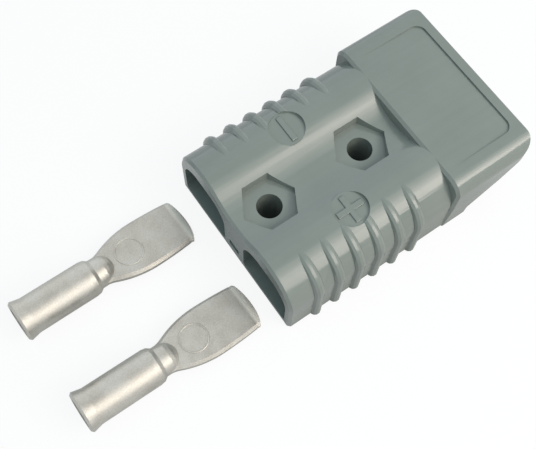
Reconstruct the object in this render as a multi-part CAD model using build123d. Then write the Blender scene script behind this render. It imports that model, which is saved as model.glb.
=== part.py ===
"""Two-pole genderless power connector: moulded housing, two loose contacts, two contact springs.

X runs from the cable end to the mating end, Y to the left, Z up from the flat base. The origin is on the
base, midway between the two mounting holes. A second housing turned over about the Y direction mates with
this one, so the mating end is its own counterpart about the point (mate_x, HEIGHT / 2).
"""
import math
import os

from build123d import *

# Overall sizes in millimetres
LENGTH = 81.0
HEIGHT = 25.4
BODY_WIDTH = 53.4
HOOD_WIDTH = 55.2
RIB_SPAN = 55.8
POLE_PITCH = 29.8

# Body
VALLEY_DEPTH = 4.4
BASE_ROUND = 0.8
END_BEVEL = 0.8

# Mounting holes and hex pockets in the centre web
HOLE_X = 11.7
HOLE_SPACING = 30.4
HOLE_DIAMETER = 7.2
HEX_FLATS = 14.3
HEX_DEPTH = 6.2

# Flank ribs
RIB_COUNT = 6
RIB_X = 9.3
RIB_PITCH = 6.68
RIB_WIDTH = 3.2
RIB_ARC = 10.7
RIB_SINK = 0.1
RIB_TURN = 100.0
RIB_SIDES = 12

# Polarity pads on the lobe crests
PAD_X = 27.3
PAD_SPACING = 28.8
PAD_DIAMETER = 10.3
PAD_DEPTH = 1.1

# Cable chambers and web slot
CHAMBER_WIDTH = 19.8
CHAMBER_SHIFT = 0.4
CHAMBER_FLOOR = 2.2
CHAMBER_TOP = 6.0
CHAMBER_ROUND = 7.5
CHAMBER_CORNER = 1.5
SLOT_WIDTH = 4.6
SLOT_HEIGHT = 2.8
SLOT_DEPTH = 3.0
SLOT_Z = 5.6

# Hood and mating end, measured from the front
HOOD_LENGTH = 27.0
MATE_REACH = 9.0
MATE_GAP = 0.3
HOOD_ROUND = 5.0
HOOD_CORNER = 4.2
HOOD_DRAFT = 0.6
HOOD_WALL = 3.2
HOOD_TOP = 3.0
SEAM_STEP = 4.0
MOUTH_DEPTH = 18.6
PANEL_WIDTH = 41.4
PANEL_MARGIN = 2.7
PANEL_DEPTH = 0.6
PANEL_ROUND = 3.0
TONGUE_INSET = 2.0
TONGUE_CLEAR = 0.4
TONGUE_ROUND = 3.0
TONGUE_ROOT = 4.0

# Contact, measured from the rear end of its barrel
CONTACT_LENGTH = 54.0
BARREL_DIAMETER = 10.8
BARREL_LENGTH = 21.4
LIP_DIAMETER = 12.0
LIP_LENGTH = 3.4
LIP_EDGE = 0.6
BORE_DIAMETER = 8.4
BORE_DEPTH = 19.0
SHOULDER_ARC = 3.0
SHOULDER_STEPS = 2
NECK_DIAMETER = 8.8
NECK_X = 23.8
NECK_LENGTH = 1.5
NECK_ARC = 4.4
NECK_STEPS = 5
BLADE_X = 29.58
FLARE_X = 24.2
FLARE_WIDTH = 8.6
FLARE_RADIUS = 8.0
WIDEST_X = 39.8
BLADE_WIDTH = 15.2
BLADE_THICK = 3.0
BLADE_EDGE = 0.8
TIP_WIDTH = 14.0
TIP_RUN = 1.85
TIP_LAND = 0.5
TIP_TURN = 50.0
TIP_BEND = 1.9
TIP_ARC = 16.0

# Where each contact lies: gap from its tip to the housing, Y of its barrel's rear end, heading in degrees
NEGATIVE_LAY = (5.8, 14.0, 2.6)
POSITIVE_LAY = (4.4, -16.2, 1.2)

# Contact passage, its leaf spring and the stud that holds the spring
POCKET_SIDE = 0.3
SPRING_ROOM = 3.2
PASSAGE_RISE = 3.8
PASSAGE_LENGTH = 7.4
SPRING_THICK = 0.8
SPRING_WIDTH = 9.0
SPRING_INSET = 1.0
SPRING_TAIL = 7.0
SPRING_RISE = 3.8
SPRING_DROP = 2.0
SPRING_BEND = 3.0
SPRING_REACH = 14.6
STUD_DIAMETER = 2.8
STUD_HEAD = 4.6
STUD_HEAD_THICK = 0.9
STUD_CLEAR = 0.1

# Sizes that follow
body_half = BODY_WIDTH / 2
hood_half = HOOD_WIDTH / 2
pole_y = POLE_PITCH / 2
lobe_r = body_half - pole_y
lobe_z = HEIGHT - lobe_r
mid_z = HEIGHT / 2
hole_xs = [HOLE_X, HOLE_X + HOLE_SPACING]
origin_x = HOLE_X + HOLE_SPACING / 2
hex_z = HEIGHT - HEX_DEPTH
hood_x = LENGTH - HOOD_LENGTH
mate_x = LENGTH - MATE_REACH
step_x = mate_x - MATE_REACH - MATE_GAP
mouth_x = LENGTH - MOUTH_DEPTH
chamber_end = mouth_x - PASSAGE_LENGTH
mouth_half = hood_half - HOOD_WALL
tongue_half = mouth_half - TONGUE_CLEAR
tongue_x = LENGTH - TONGUE_INSET
tongue_z = HOOD_TOP + TONGUE_CLEAR
shelf_z = mid_z - MATE_GAP
pocket_half = BLADE_WIDTH / 2 + POCKET_SIDE
floor_z = mid_z - BLADE_THICK - SPRING_ROOM
spring_x = chamber_end + SPRING_INSET
stud_x = spring_x + SPRING_TAIL / 2
crease_x = CONTACT_LENGTH - TIP_RUN

rear = Plane.YZ
side = Plane.XZ


def box(x0, x1, y0, y1, z0, z1):
    """Block between two corners."""
    centre = ((x0 + x1) / 2, (y0 + y1) / 2, (z0 + z1) / 2)
    return Pos(*centre) * Box(abs(x1 - x0), abs(y1 - y0), abs(z1 - z0))


def post(x, y, z0, z1, diameter):
    """Upright round post."""
    return Pos(x, y, (z0 + z1) / 2) * Cylinder(diameter / 2, z1 - z0)


def across(outline, half, y=0):
    """Solid of a side-view outline, half wide each way from the plane at y."""
    return Pos(0, y, 0) * extrude(side * outline, half, both=True)


def both_sides(piece):
    """A piece of the left side with its mirror image on the right."""
    return [piece, mirror(piece, side)]


def body_shell():
    """Two lobes joined by a shallow valley, over straight flanks and a flat base."""
    valley = (pole_y**2 + (HEIGHT - VALLEY_DEPTH - lobe_z) ** 2 - lobe_r**2) / 2
    valley_r = valley / (lobe_r - HEIGHT + VALLEY_DEPTH + lobe_z)
    valley_z = HEIGHT - VALLEY_DEPTH + valley_r
    turn = math.degrees(math.atan2(pole_y, valley_z - lobe_z))
    outline = make_face(
        [
            Line((-body_half, 0), (body_half, 0)),
            Line((body_half, 0), (body_half, lobe_z)),
            CenterArc((pole_y, lobe_z), lobe_r, 0, 90 + turn),
            CenterArc((0, valley_z), valley_r, -90 + turn, -2 * turn),
            CenterArc((-pole_y, lobe_z), lobe_r, 90 - turn, 90 + turn),
            Line((-body_half, lobe_z), (-body_half, 0)),
        ]
    )
    outline = fillet(outline.vertices().group_by(Axis.Y)[0], BASE_ROUND)
    body = extrude(rear * outline, hood_x + 2)
    return chamfer(body.faces().sort_by(Axis.X)[0].edges(), END_BEVEL)


def flank_rib(x):
    """Rib of near-round section up the left flank and over the shoulder, where it sinks into the lobe."""
    r = RIB_WIDTH / 2
    y = RIB_SPAN / 2 - RIB_ARC
    z = HEIGHT - RIB_SINK - RIB_ARC
    section = RegularPolygon(r, RIB_SIDES, major_radius=False, rotation=180 / RIB_SIDES)
    bar = Pos(x, y + RIB_ARC - r, 0) * section
    curl = revolve(Pos(0, 0, z) * bar, Axis((x, y, z), (1, 0, 0)), RIB_TURN)
    return curl + extrude(bar, z)


def hood_block():
    """Outer hood: rounded shoulders, slight draft below, rounded corners in plan at the front."""
    low = hood_half - HOOD_DRAFT
    flank = [(low, 0), (hood_half, mid_z), (hood_half, HEIGHT)]
    outline = make_face(Polyline(flank + [(-y, z) for y, z in reversed(flank)], close=True))
    outline = fillet(outline.vertices().group_by(Axis.Y)[-1], HOOD_ROUND)
    block = Pos(hood_x, 0, 0) * extrude(rear * outline, LENGTH - hood_x)
    block = chamfer(block.faces().sort_by(Axis.X)[0].edges().sort_by(Axis.Z)[1:], END_BEVEL)
    plan = Pos((hood_x + LENGTH) / 2, 0) * Rectangle(LENGTH - hood_x, HOOD_WIDTH)
    plan = fillet(plan.vertices().group_by(Axis.X)[-1], HOOD_CORNER)
    return block & extrude(plan, HEIGHT)


def seam_cut():
    """Everything under the slanted edge of the hood's sides, where the counterpart's sides come."""
    slope = (HEIGHT - 2 * SEAM_STEP) / (LENGTH - step_x)
    rise = mid_z + MATE_GAP / 2 - slope * mate_x
    front = LENGTH + 1
    slant = [(front, rise + slope * front), (step_x, rise + slope * step_x)]
    return across(make_face(Polyline([(step_x, -1), (front, -1)] + slant, close=True)), HOOD_WIDTH)


def mouth_cut():
    """Open inside of the hood, above the level at which the two tongues meet."""
    tall = HEIGHT - HOOD_TOP - shelf_z
    outline = Pos(0, shelf_z + tall / 2) * Rectangle(2 * mouth_half, tall)
    outline = fillet(outline.vertices().group_by(Axis.Y)[-1], HOOD_ROUND - HOOD_TOP)
    return Pos(mouth_x, 0, 0) * extrude(rear * outline, LENGTH)


def panel_cut():
    """Shallow recess in the hood's top that runs out to nothing at its rear."""
    x0 = hood_x + PANEL_MARGIN
    x1 = LENGTH - PANEL_MARGIN
    plan = Pos((x0 + x1) / 2, 0) * Rectangle(x1 - x0, PANEL_WIDTH)
    plan = fillet(plan.vertices().group_by(Axis.X)[-1], PANEL_ROUND)
    top = HEIGHT + 1
    wedge = make_face(Polyline((x0, HEIGHT), (x1, HEIGHT - PANEL_DEPTH), (x1, top), (x0, top), close=True))
    return Pos(0, 0, HEIGHT - 2) * extrude(plan, 4) & across(wedge, PANEL_WIDTH)


def tongue():
    """Flat tongue in front of the mouth that goes under the counterpart's hood."""
    slab = box(mouth_x - TONGUE_ROOT, tongue_x, -tongue_half, tongue_half, tongue_z, shelf_z)
    return fillet(slab.edges().filter_by(Axis.Z).group_by(Axis.X)[-1], TONGUE_ROUND)


def hollow():
    """Way through the left pole: round-topped cable chamber from the rear, then the contact passage."""
    tall = HEIGHT - CHAMBER_TOP - CHAMBER_FLOOR
    outline = Pos(pole_y - CHAMBER_SHIFT, CHAMBER_FLOOR + tall / 2) * Rectangle(CHAMBER_WIDTH, tall)
    outline = fillet(outline.vertices().group_by(Axis.Y)[-1], CHAMBER_ROUND)
    outline = fillet(outline.vertices().group_by(Axis.Y)[0], CHAMBER_CORNER)
    chamber = Pos(-1, 0, 0) * extrude(rear * outline, chamber_end + 1)
    low, high = pole_y - pocket_half, pole_y + pocket_half
    return chamber + box(chamber_end - 1, LENGTH, low, high, floor_z, mid_z + PASSAGE_RISE)


def stud():
    """Staked stud of the left pole: shank through the spring, head over it."""
    top = floor_z + SPRING_THICK
    shank = post(stud_x, pole_y, floor_z - 1, top + STUD_HEAD_THICK / 2, STUD_DIAMETER)
    return shank + post(stud_x, pole_y, top, top + STUD_HEAD_THICK, STUD_HEAD)


def housing():
    """The one-piece moulding."""
    solid = body_shell()
    for i in range(RIB_COUNT):
        solid = solid + both_sides(flank_rib(RIB_X + i * RIB_PITCH))
    for y in (PAD_SPACING / 2, -PAD_SPACING / 2):
        solid = solid + post(PAD_X, y, lobe_z, HEIGHT - PAD_DEPTH, PAD_DIAMETER)
        solid = solid - post(PAD_X, y, HEIGHT - PAD_DEPTH, HEIGHT + 1, PAD_DIAMETER)
    solid = solid + hood_block() - panel_cut() - seam_cut() - mouth_cut() + tongue()
    for x in hole_xs:
        solid = solid - post(x, 0, -1, HEIGHT, HOLE_DIAMETER)
        solid = solid - Pos(x, 0, hex_z) * extrude(RegularPolygon(HEX_FLATS / math.sqrt(3), 6), HEIGHT)
    solid = solid - Pos(0, 0, SLOT_Z) * Box(2 * SLOT_DEPTH, SLOT_WIDTH, SLOT_HEIGHT)
    return solid - both_sides(hollow()) + both_sides(stud())


def blade():
    """Flat blade from inside the barrel to the turned-down tip: it flares from the neck, then narrows."""
    root = BARREL_LENGTH - BLADE_EDGE
    waist = Vector(FLARE_X, FLARE_WIDTH / 2)
    wide = Vector(WIDEST_X, BLADE_WIDTH / 2)
    corner = Vector(crease_x, TIP_WIDTH / 2)
    swing = 2 * math.degrees(math.atan2(wide.Y - waist.Y, wide.X - waist.X))
    spread = (wide.X - waist.X) / math.sin(math.radians(swing))
    flare = JernArc(waist, (1, 0), FLARE_RADIUS, swing)
    crown = JernArc(flare @ 1, flare % 1, spread - FLARE_RADIUS, -swing)
    fall = TangentArc(crown @ 1, corner, tangent=(1, 0))
    half = make_face([flare, crown, fall, Polyline(corner, (crease_x, 0), (root, 0), (root, waist.Y), waist)])
    turn = math.radians(TIP_TURN)
    bend = crease_x - TIP_BEND * math.tan(turn / 2)
    flat = extrude(half + mirror(half, side), BLADE_THICK / 2, both=True)
    flat = flat - box(bend, CONTACT_LENGTH, -BLADE_WIDTH, BLADE_WIDTH, -BLADE_THICK, BLADE_THICK)
    flat = chamfer(flat.edges().filter_by(GeomType.CIRCLE), BLADE_EDGE)
    # The bent tip runs on past the full length, where its rounded front trims it upright
    lip = (TIP_RUN - BLADE_THICK / 2 * math.sin(turn)) / math.cos(turn) + TIP_LAND
    start = bend - BLADE_EDGE
    toe = (crease_x + lip * math.cos(turn), 0, -lip * math.sin(turn))
    section = chamfer(Rectangle(TIP_WIDTH, BLADE_THICK).vertices(), BLADE_EDGE)
    path = FilletPolyline([(start, 0, 0), (crease_x, 0, 0), toe], radius=TIP_BEND)
    tip = sweep(Pos(start, 0, 0) * (rear * section), path=path)
    return flat + (tip & Pos(CONTACT_LENGTH - TIP_ARC, 0, 0) * Cylinder(TIP_ARC, BLADE_WIDTH))


def barrel():
    """Turned barrel about X: flared lip at the cable end, shoulder, neck and domed end in the blade."""
    r = BARREL_DIAMETER / 2
    lip = LIP_DIAMETER / 2
    neck = (NECK_X, NECK_DIAMETER / 2)
    waist = (NECK_X + NECK_LENGTH, NECK_DIAMETER / 2)
    foot = (BLADE_X, BLADE_THICK / 3)
    mouth = [(0, 0), (0, lip - LIP_EDGE), (LIP_EDGE, lip), (LIP_LENGTH, r)]
    shoulder = RadiusArc((BARREL_LENGTH, r), neck, SHOULDER_ARC)
    dome = RadiusArc(waist, foot, NECK_ARC)
    mouth += [shoulder @ (i / SHOULDER_STEPS) for i in range(SHOULDER_STEPS + 1)]
    mouth += [dome @ (i / NECK_STEPS) for i in range(NECK_STEPS + 1)]
    outline = make_face(Polyline(mouth + [(BLADE_X, 0)], close=True))
    return revolve(side * outline, Axis.X)


def contact():
    """Plated contact along X with its barrel's rear end at zero and its axis on X."""
    bore = Pos(-1, 0, 0) * extrude(rear * Circle(BORE_DIAMETER / 2), BORE_DEPTH + 1)
    return barrel() + blade() - bore


def laid(piece, place):
    """Contact lying loose: it rests on the front of its barrel and on its tip."""
    gap, y, heading = place
    toe = piece.vertices().filter_by(lambda v: v.X > crease_x - TIP_RUN).sort_by(Axis.Z)[0]
    pitch = math.degrees(math.atan2(BARREL_DIAMETER / 2 + toe.Z, toe.X - BARREL_LENGTH))
    resting = Rot(0, pitch, 0) * piece
    resting = Pos(0, 0, -resting.bounding_box().min.Z) * resting
    return Pos(-gap - CONTACT_LENGTH, y, 0) * Rot(0, 0, heading) * resting


def spring():
    """Leaf spring of the left pole: flat tail under the stud head, leaf rising to a turned-down tip."""
    z = floor_z + SPRING_THICK / 2
    bend = spring_x + SPRING_TAIL
    tip = mouth_x + SPRING_REACH
    crown = bend + 0.7 * (tip - bend)
    top = z + SPRING_RISE
    path = [(spring_x, z), (bend, z), (crown, top), (tip, top - SPRING_DROP)]
    line = FilletPolyline(path, radius=SPRING_BEND)
    leaf = across(trace(line, SPRING_THICK), SPRING_WIDTH / 2, pole_y)
    return leaf - post(stud_x, pole_y, 0, HEIGHT, STUD_DIAMETER + 2 * STUD_CLEAR)


def save(shape, name):
    """Move to the origin between the mounting holes and write the piece."""
    export_step(Pos(-origin_x, 0, 0) * shape, f"parts/{name}.step")


os.makedirs("parts", exist_ok=True)
loose = contact()
leaf = spring()
save(housing(), "housing")
save(laid(loose, NEGATIVE_LAY), "negative_contact")
save(laid(loose, POSITIVE_LAY), "positive_contact")
save(leaf, "negative_spring")
save(mirror(leaf, side), "positive_spring")
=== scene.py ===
import bpy
import numpy as np
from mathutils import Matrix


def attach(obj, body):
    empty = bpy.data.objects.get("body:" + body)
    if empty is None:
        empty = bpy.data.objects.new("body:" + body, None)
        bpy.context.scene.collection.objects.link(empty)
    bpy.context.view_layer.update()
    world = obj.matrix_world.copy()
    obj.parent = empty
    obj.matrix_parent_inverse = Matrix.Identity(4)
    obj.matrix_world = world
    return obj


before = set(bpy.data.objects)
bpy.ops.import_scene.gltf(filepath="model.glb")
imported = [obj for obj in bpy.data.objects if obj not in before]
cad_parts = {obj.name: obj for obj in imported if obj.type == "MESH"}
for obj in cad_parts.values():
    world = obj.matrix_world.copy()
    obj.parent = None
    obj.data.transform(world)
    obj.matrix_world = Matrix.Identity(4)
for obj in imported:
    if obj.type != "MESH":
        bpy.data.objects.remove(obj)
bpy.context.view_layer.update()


# Housing: one injection moulding in grey polycarbonate with two cable chambers, a hood and flank ribs.
# The mould was polished along its length, so the skin is semi-gloss with faint lengthwise draw lines.
# The solid has the right shape, and only takes its finish here.
def linear(text):
    """Linear colour of an sRGB hex value: ((c + 0.055) / 1.055) ^ 2.4, or c / 12.92 near black."""
    c = np.array([int(text[i:i + 2], 16) for i in (1, 3, 5)]) / 255
    return (*np.where(c <= 0.04045, c / 12.92, ((c + 0.055) / 1.055) ** 2.4).tolist(), 1.0)


def node(tree, kind, sockets=None, **settings):
    """Adds one node with its settings; sockets gives each input a value or another node's output.
    In a colour mix, input 0 is the share, inputs 6 and 7 the two colours, and output 2 the result."""
    made = tree.nodes.new(kind)
    for name, value in settings.items():
        setattr(made, name, value)
    for key, value in (sockets or {}).items():
        if isinstance(value, bpy.types.NodeSocket):
            tree.links.new(value, made.inputs[key])
        else:
            made.inputs[key].default_value = value
    return made


# Polycarbonate reflects about 5 percent, a little more than most plastics: crisp, pale highlights.
# Draw lines are 1.8 mm apart and 40 mm long. The grain left by the polished mould is about 0.1 mm wide,
# too fine to show here, so it is drawn 0.9 mm wide. Clouding of 14 mm comes from the flow of the melt.
draw_length, draw_gap, grain_width, cloud_width = 0.040, 0.0018, 0.0009, 0.014
draw_depth, grain_depth = 0.0001, 0.00002
plain_grey, cloudy_grey = linear("#828983"), linear("#898F89")
polycarbonate = bpy.data.materials.new("moulded_grey_polycarbonate")
polycarbonate.use_nodes = True
tree = polycarbonate.node_tree
skin = tree.nodes["Principled BSDF"]
skin.inputs["IOR"].default_value = 1.58
place = node(tree, "ShaderNodeTexCoord").outputs["Object"]
stretch = (1 / draw_length, 1 / draw_gap, 1 / draw_gap)
along = node(tree, "ShaderNodeMapping", {"Vector": place, "Scale": stretch}).outputs[0]
lines = node(tree, "ShaderNodeTexNoise", {"Vector": along, "Scale": 1.0, "Detail": 2.0}).outputs[0]
cloud = node(tree, "ShaderNodeTexNoise", {"Vector": place, "Scale": 1 / cloud_width, "Detail": 3.0}).outputs[0]
grain = node(tree, "ShaderNodeTexNoise", {"Vector": place, "Scale": 1 / grain_width, "Detail": 2.0}).outputs[0]
mottle = node(tree, "ShaderNodeMath", {0: lines, 1: 0.4, 2: cloud}, operation="MULTIPLY_ADD").outputs[0]
share = node(tree, "ShaderNodeMapRange", {"Value": mottle, "From Min": 0.45, "From Max": 0.95}).outputs[0]
tint = node(tree, "ShaderNodeMix", {0: share, 6: plain_grey, 7: cloudy_grey}, data_type="RGBA")
gloss = {"Value": lines, "From Min": 0.3, "From Max": 0.7, "To Min": 0.09, "To Max": 0.14}
matt = node(tree, "ShaderNodeMapRange", gloss)
drawn = node(tree, "ShaderNodeBump", {"Height": lines, "Strength": 0.8, "Distance": draw_depth})
peel = node(tree, "ShaderNodeBump", {"Height": grain, "Strength": 0.1, "Distance": grain_depth})
tree.links.new(drawn.outputs[0], peel.inputs["Normal"])
tree.links.new(tint.outputs[2], skin.inputs["Base Color"])
tree.links.new(matt.outputs[0], skin.inputs["Roughness"])
tree.links.new(peel.outputs[0], skin.inputs["Normal"])

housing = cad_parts["housing"]
housing.data.materials.clear()
housing.data.materials.append(polycarbonate)


# Polarity signs: bars standing up from the two round pads, a cross for the positive pole and one bar
# across for the negative. They are moulded with the housing, in the same plastic, with rounded top edges.
def raised_sign(centre, corners, arm, half, rise, edge):
    """Rings round a sign's outline, up its wall and over to the top: ring k has arm length arm - inset k,
    half width half - inset k and its own height, with inset and height on a quarter circle of radius edge.
    Each corner is (shares of arm and half width along X, shares of arm and half width along Y)."""
    root = -0.0001
    turn = np.linspace(0, np.pi / 2, 5)
    inset = np.concatenate([[0.0], edge * (1 - np.cos(turn))])
    level = np.concatenate([[root], rise - edge + edge * np.sin(turn)])
    c = np.array(corners, float)
    x = np.outer(arm - inset, c[:, 0]) + np.outer(half - inset, c[:, 1])
    y = np.outer(arm - inset, c[:, 2]) + np.outer(half - inset, c[:, 3])
    points = np.stack([x, y, np.repeat(level[:, None], len(c), axis=1)], axis=-1) + np.array(centre)
    index = np.arange(x.size).reshape(x.shape)
    after = np.roll(index, -1, axis=1)
    walls = np.stack([index[:-1], after[:-1], after[1:], index[1:]], axis=-1).reshape(-1, 4)
    return points.reshape(-1, 3), walls.tolist() + [index[-1].tolist(), index[0, ::-1].tolist()]


pad_x, pad_y, pad_level = 0.0004, 0.0144, 0.0243
cross = [(1, 0, 0, -1), (1, 0, 0, 1), (0, 1, 0, 1), (0, 1, 1, 0), (0, -1, 1, 0), (0, -1, 0, 1),
         (-1, 0, 0, 1), (-1, 0, 0, -1), (0, -1, 0, -1), (0, -1, -1, 0), (0, 1, -1, 0), (0, 1, 0, -1)]
bar = [(0, 1, -1, 0), (0, 1, 1, 0), (0, -1, 1, 0), (0, -1, -1, 0)]
for name, centre_y, corners in (("positive_sign", -pad_y, cross), ("negative_sign", pad_y, bar)):
    centre = (pad_x, centre_y, pad_level)
    points, faces = raised_sign(centre, corners, arm=0.0041, half=0.00085, rise=0.0005, edge=0.0002)
    mesh = bpy.data.meshes.new(name)
    mesh.from_pydata(points.tolist(), [], faces)
    mesh.materials.append(polycarbonate)
    sign = bpy.data.objects.new(name, mesh)
    bpy.context.scene.collection.objects.link(sign)
    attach(sign, "root")


# Contacts: one-piece blades of copper with a drilled barrel for the cable, bent down at the tip.
# They are silver plated and tumbled, so the metal is satin, and a thin film of tarnish dulls it in patches.
# The solids have the right shape, and only take their finish here.

# Satin silver gives soft, broad highlights. The bloom of 5 mm is the tarnish, which scatters more light.
# Tumbling marks are about 0.1 mm wide, too fine to show here, so they are drawn 0.35 mm wide.
# The bent tips are painted pale and less metallic, a painted light that makes the lips look lit. Both
# bends begin on the slanting line x + 0.0459 y = -35.2 mm, and the painted light is full 0.8 mm further on.
mark_width, mark_depth, bloom_width = 0.00035, 0.00003, 0.005
bend_slant, bend_start, bend_full = 0.0459, -0.0352, -0.0344
dull_silver, bright_silver, painted_light_silver = linear("#B3B0A8"), linear("#C8C6C0"), linear("#F2E9DF")
plating = bpy.data.materials.new("satin_silver_plated_copper")
plating.use_nodes = True
tree = plating.node_tree
skin = tree.nodes["Principled BSDF"]
place = node(tree, "ShaderNodeTexCoord").outputs["Object"]
speck = node(tree, "ShaderNodeTexNoise", {"Vector": place, "Scale": 1 / mark_width, "Detail": 3.0}).outputs[0]
bloom = node(tree, "ShaderNodeTexNoise", {"Vector": place, "Scale": 1 / bloom_width, "Detail": 3.0}).outputs[0]
mixed = node(tree, "ShaderNodeMath", {0: speck, 1: bloom}, operation="ADD").outputs[0]
share = node(tree, "ShaderNodeMapRange", {"Value": mixed, "From Min": 0.75, "From Max": 1.25}).outputs[0]
tint = node(tree, "ShaderNodeMix", {0: share, 6: dull_silver, 7: bright_silver}, data_type="RGBA").outputs[2]
film = {"Value": bloom, "From Min": 0.3, "From Max": 0.7}
matt = node(tree, "ShaderNodeMapRange", {**film, "To Min": 0.38, "To Max": 0.48})
bare = node(tree, "ShaderNodeMapRange", {**film, "To Min": 0.8, "To Max": 0.6}).outputs[0]
slant = node(tree, "ShaderNodeVectorMath", {0: place, 1: (1.0, bend_slant, 0.0)}, operation="DOT_PRODUCT")
reach = {"Value": slant.outputs["Value"], "From Min": bend_start, "From Max": bend_full}
# Painted light on the bent tips: this share turns them pale and less metallic so that they look lit.
painted_light_share = node(tree, "ShaderNodeMapRange", reach).outputs[0]
keep = node(tree, "ShaderNodeMapRange", {"Value": painted_light_share, "To Min": 1.0, "To Max": 0.15}).outputs[0]
metal = node(tree, "ShaderNodeMath", {0: bare, 1: keep}, operation="MULTIPLY")
painted_light_tint = node(tree, "ShaderNodeMix", {0: painted_light_share, 6: tint, 7: painted_light_silver}, data_type="RGBA")
tumbled = node(tree, "ShaderNodeBump", {"Height": speck, "Strength": 0.5, "Distance": mark_depth})
tree.links.new(metal.outputs[0], skin.inputs["Metallic"])
tree.links.new(painted_light_tint.outputs[2], skin.inputs["Base Color"])
tree.links.new(matt.outputs[0], skin.inputs["Roughness"])
tree.links.new(tumbled.outputs[0], skin.inputs["Normal"])

for name in ("negative_contact", "positive_contact"):
    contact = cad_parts[name]
    contact.data.materials.clear()
    contact.data.materials.append(plating)


# Stamped rings: a plain ring on each blade's top face, raised by the press tool that forms the blade.
# It is part of the blade, so it has the same plating, and it stands a tenth of a millimetre proud.
def pressed_ring(centre, pitch, heading, radius, width, rise):
    """A bead of oval section, width by rise, carried round a circle of that radius in the blade's plane,
    which is turned by pitch about Y and then by heading about Z."""
    steps, sides = 96, 12
    u = np.linspace(0, 2 * np.pi, steps, endpoint=False)[:, None]
    v = np.linspace(0, 2 * np.pi, sides, endpoint=False)[None, :]
    reach = radius + width / 2 * np.cos(v)
    flat = np.stack(np.broadcast_arrays(reach * np.cos(u), reach * np.sin(u), rise * np.sin(v)), axis=-1)
    p, h = np.radians(pitch), np.radians(heading)
    tilt = np.array([[np.cos(p), 0, np.sin(p)], [0, 1, 0], [-np.sin(p), 0, np.cos(p)]])
    turn = np.array([[np.cos(h), -np.sin(h), 0], [np.sin(h), np.cos(h), 0], [0, 0, 1]])
    points = flat.reshape(-1, 3) @ (turn @ tilt).T + np.array(centre)
    index = np.arange(steps * sides).reshape(steps, sides)
    ahead = np.roll(index, -1, axis=0)
    quads = np.stack([index, ahead, np.roll(ahead, -1, axis=1), np.roll(index, -1, axis=1)], axis=-1)
    return points, quads.reshape(-1, 4)


blade_pitch = 5.9979
for name, centre, heading in (
    ("negative_ring", (-0.051772, 0.015586, 0.005513), 2.6),
    ("positive_ring", (-0.050343, -0.015468, 0.005513), 1.2),
):
    points, quads = pressed_ring(centre, blade_pitch, heading, radius=0.0040, width=0.0005, rise=0.00012)
    mesh = bpy.data.meshes.new(name)
    mesh.from_pydata(points.tolist(), [], quads.tolist())
    mesh.polygons.foreach_set("use_smooth", np.ones(len(quads), bool))
    mesh.materials.append(plating)
    ring = bpy.data.objects.new(name, mesh)
    bpy.context.scene.collection.objects.link(ring)
    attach(ring, "root")


# Springs: a leaf of hard stainless strip on the floor of each chamber, which presses the blade up.
# Its hole sits on a stud moulded in the housing, and its free end is turned down at the tip.
# The solids have the right shape, and only take their finish here.

# Rolled strip is smooth, with fine lines along its length and a cool grey tone.
# Rolling lines are about 0.05 mm apart, too fine to show here, so they are drawn 0.2 mm apart.
roll_length, roll_gap, roll_depth = 0.008, 0.0002, 0.00001
dark_steel, light_steel = linear("#8F9192"), linear("#C3C5C5")
strip = bpy.data.materials.new("rolled_stainless_spring_strip")
strip.use_nodes = True
tree = strip.node_tree
skin = tree.nodes["Principled BSDF"]
skin.inputs["Metallic"].default_value = 1.0
place = node(tree, "ShaderNodeTexCoord").outputs["Object"]
stretch = (1 / roll_length, 1 / roll_gap, 1 / roll_gap)
along = node(tree, "ShaderNodeMapping", {"Vector": place, "Scale": stretch}).outputs[0]
rolled = node(tree, "ShaderNodeTexNoise", {"Vector": along, "Scale": 1.0, "Detail": 3.0}).outputs[0]
tint = node(tree, "ShaderNodeMix", {0: rolled, 6: dark_steel, 7: light_steel}, data_type="RGBA")
matt = node(tree, "ShaderNodeMapRange", {"Value": rolled, "To Min": 0.24, "To Max": 0.36})
ridge = node(tree, "ShaderNodeBump", {"Height": rolled, "Strength": 0.4, "Distance": roll_depth})
tree.links.new(tint.outputs[2], skin.inputs["Base Color"])
tree.links.new(matt.outputs[0], skin.inputs["Roughness"])
tree.links.new(ridge.outputs[0], skin.inputs["Normal"])

for name in ("negative_spring", "positive_spring"):
    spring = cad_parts[name]
    spring.data.materials.clear()
    spring.data.materials.append(strip)


# Floor: a pale sweep of card, which the camera and glossy surfaces see as white, with a faint shadow.
# Close to the pieces it is shaded in reflections too, so that their lower sides stay grounded.
floor_half, floor_drop, white_share, shade_reach = 3.0, 0.00005, 0.88, 0.06
mesh = bpy.data.meshes.new("floor")
square = np.array([[-1, -1, 0], [1, -1, 0], [1, 1, 0], [-1, 1, 0]]) * floor_half
mesh.from_pydata((square - np.array([0, 0, floor_drop])).tolist(), [], [[0, 1, 2, 3]])
floor = bpy.data.objects.new("floor", mesh)
bpy.context.scene.collection.objects.link(floor)

pale_grey, white = linear("#A6A6A4"), linear("#FFFFFF")
card = bpy.data.materials.new("pale_card")
card.use_nodes = True
tree = card.node_tree
tree.nodes.clear()
rays = node(tree, "ShaderNodeLightPath").outputs
camera_ray, bounced = rays["Is Camera Ray"], (rays["Is Glossy Ray"], rays["Is Transmission Ray"])
mirrored = node(tree, "ShaderNodeMath", {0: bounced[0], 1: bounced[1]}, operation="MAXIMUM").outputs[0]
open_air = node(tree, "ShaderNodeAmbientOcclusion", {"Distance": shade_reach}).outputs["AO"]
open_air = node(tree, "ShaderNodeMath", {0: open_air, 1: 2.0}, operation="POWER").outputs[0]
mirrored = node(tree, "ShaderNodeMath", {0: mirrored, 1: open_air}, operation="MULTIPLY").outputs[0]
seen = node(tree, "ShaderNodeMath", {0: camera_ray, 1: mirrored}, operation="MAXIMUM").outputs[0]
amount = node(tree, "ShaderNodeMath", {0: seen, 1: white_share}, operation="MULTIPLY").outputs[0]
paper = node(tree, "ShaderNodeMix", {0: camera_ray, 6: pale_grey, 7: white}, data_type="RGBA").outputs[2]
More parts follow.
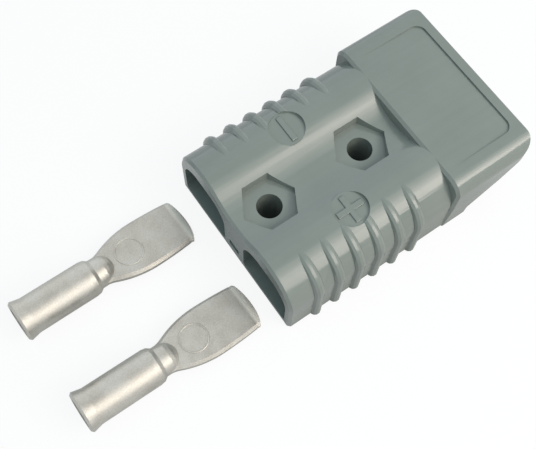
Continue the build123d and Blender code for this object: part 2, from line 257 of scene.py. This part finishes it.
matt_card = node(tree, "ShaderNodeBsdfDiffuse", {"Color": paper}).outputs[0]
bright = node(tree, "ShaderNodeEmission", {"Color": white, "Strength": 1.0}).outputs[0]
both = node(tree, "ShaderNodeMixShader", {0: amount, 1: matt_card, 2: bright}).outputs[0]
node(tree, "ShaderNodeOutputMaterial", {"Surface": both})
mesh.materials.append(card)


# Room: white to the camera. Glossy surfaces see pale walls, a little lighter on the left.
# Matt surfaces get a cool fill, which is strongest from overhead and dim near the floor.
sky_blue = linear("#D3ECF5")
world = bpy.data.worlds.new("studio_room")
world.use_nodes = True
tree = world.node_tree
tree.nodes.clear()
rays = node(tree, "ShaderNodeLightPath").outputs
camera_ray, bounced = rays["Is Camera Ray"], (rays["Is Glossy Ray"], rays["Is Transmission Ray"])
mirrored = node(tree, "ShaderNodeMath", {0: bounced[0], 1: bounced[1]}, operation="MAXIMUM").outputs[0]
heading = node(tree, "ShaderNodeTexCoord").outputs["Generated"]
_, left, upward = node(tree, "ShaderNodeSeparateXYZ", {0: heading}).outputs
window = node(tree, "ShaderNodeMapRange", {"Value": left, "To Min": 0.0, "To Max": 0.5}).outputs[0]
wall = node(tree, "ShaderNodeMapRange", {"Value": upward, "To Min": 1.0, "To Max": 0.75}).outputs[0]
wall = node(tree, "ShaderNodeMath", {0: wall, 1: window}, operation="ADD").outputs[0]
sky = node(tree, "ShaderNodeMapRange", {"Value": upward, "To Min": 0.16, "To Max": 0.96}).outputs[0]
fill = node(tree, "ShaderNodeMix", {0: mirrored, 2: sky, 3: wall}).outputs[0]
level = node(tree, "ShaderNodeMix", {0: camera_ray, 2: fill, 3: 1.0}).outputs[0]
plain = node(tree, "ShaderNodeMath", {0: mirrored, 1: camera_ray}, operation="MAXIMUM").outputs[0]
cool = node(tree, "ShaderNodeMix", {0: plain, 6: sky_blue, 7: white}, data_type="RGBA").outputs[2]
room = node(tree, "ShaderNodeBackground", {"Color": cool, "Strength": level}).outputs[0]
node(tree, "ShaderNodeOutputWorld", {"Surface": room})
bpy.context.scene.world = world


# Soft box: one large warm lamp that hangs high on the right. It is graded, so that highlights have soft
# ends: dark at its overhead end, full at a quarter, and fading to the far end. Its front side is brighter.
soft_box = bpy.data.lights.new("soft_box", "AREA")
soft_box.shape = "RECTANGLE"
soft_box.size, soft_box.size_y = 0.60, 1.6
soft_box.energy = 8.8
soft_box.color = linear("#FFF4E8")[:3]
soft_box.use_nodes = True
tree = soft_box.node_tree
spot = node(tree, "ShaderNodeNewGeometry").outputs["Parametric"]
across, along, _ = node(tree, "ShaderNodeSeparateXYZ", {0: spot}).outputs
rise = node(tree, "ShaderNodeMapRange", {"Value": along, "From Min": 1.0, "From Max": 0.75}).outputs[0]
fade = {"Value": along, "From Min": 0.0, "From Max": 0.75, "To Min": 0.25}
fall = node(tree, "ShaderNodeMapRange", fade).outputs[0]
side = node(tree, "ShaderNodeMapRange", {"Value": across, "To Min": 0.5, "To Max": 2.5}).outputs[0]
ends = node(tree, "ShaderNodeMath", {0: rise, 1: fall}, operation="MULTIPLY").outputs[0]
glow = node(tree, "ShaderNodeMath", {0: ends, 1: side}, operation="MULTIPLY").outputs[0]
tree.links.new(glow, tree.nodes["Emission"].inputs["Strength"])
lamp = bpy.data.objects.new("soft_box", soft_box)
lamp.location = (0.20, -0.85, 0.50)
lamp.visible_camera = False
bpy.context.scene.collection.objects.link(lamp)


# Camera: a full-frame lens of 57 mm, looking down from behind the cable end on the right,
# at the photograph's viewing angle.
lens = bpy.data.cameras.new("camera")
lens.sensor_fit = "HORIZONTAL"
lens.sensor_width = 36.0
lens.lens = 57.0821
lens.clip_start = 0.01
camera = bpy.data.objects.new("camera", lens)
camera.location = (-0.07013266, -0.07184513, 0.22868451)
camera.rotation_euler = np.radians([22.09080, -1.02474, -34.79287]).tolist()
bpy.context.scene.collection.objects.link(camera)
bpy.context.scene.camera = camera
bpy.context.scene.view_settings.view_transform = "Standard"
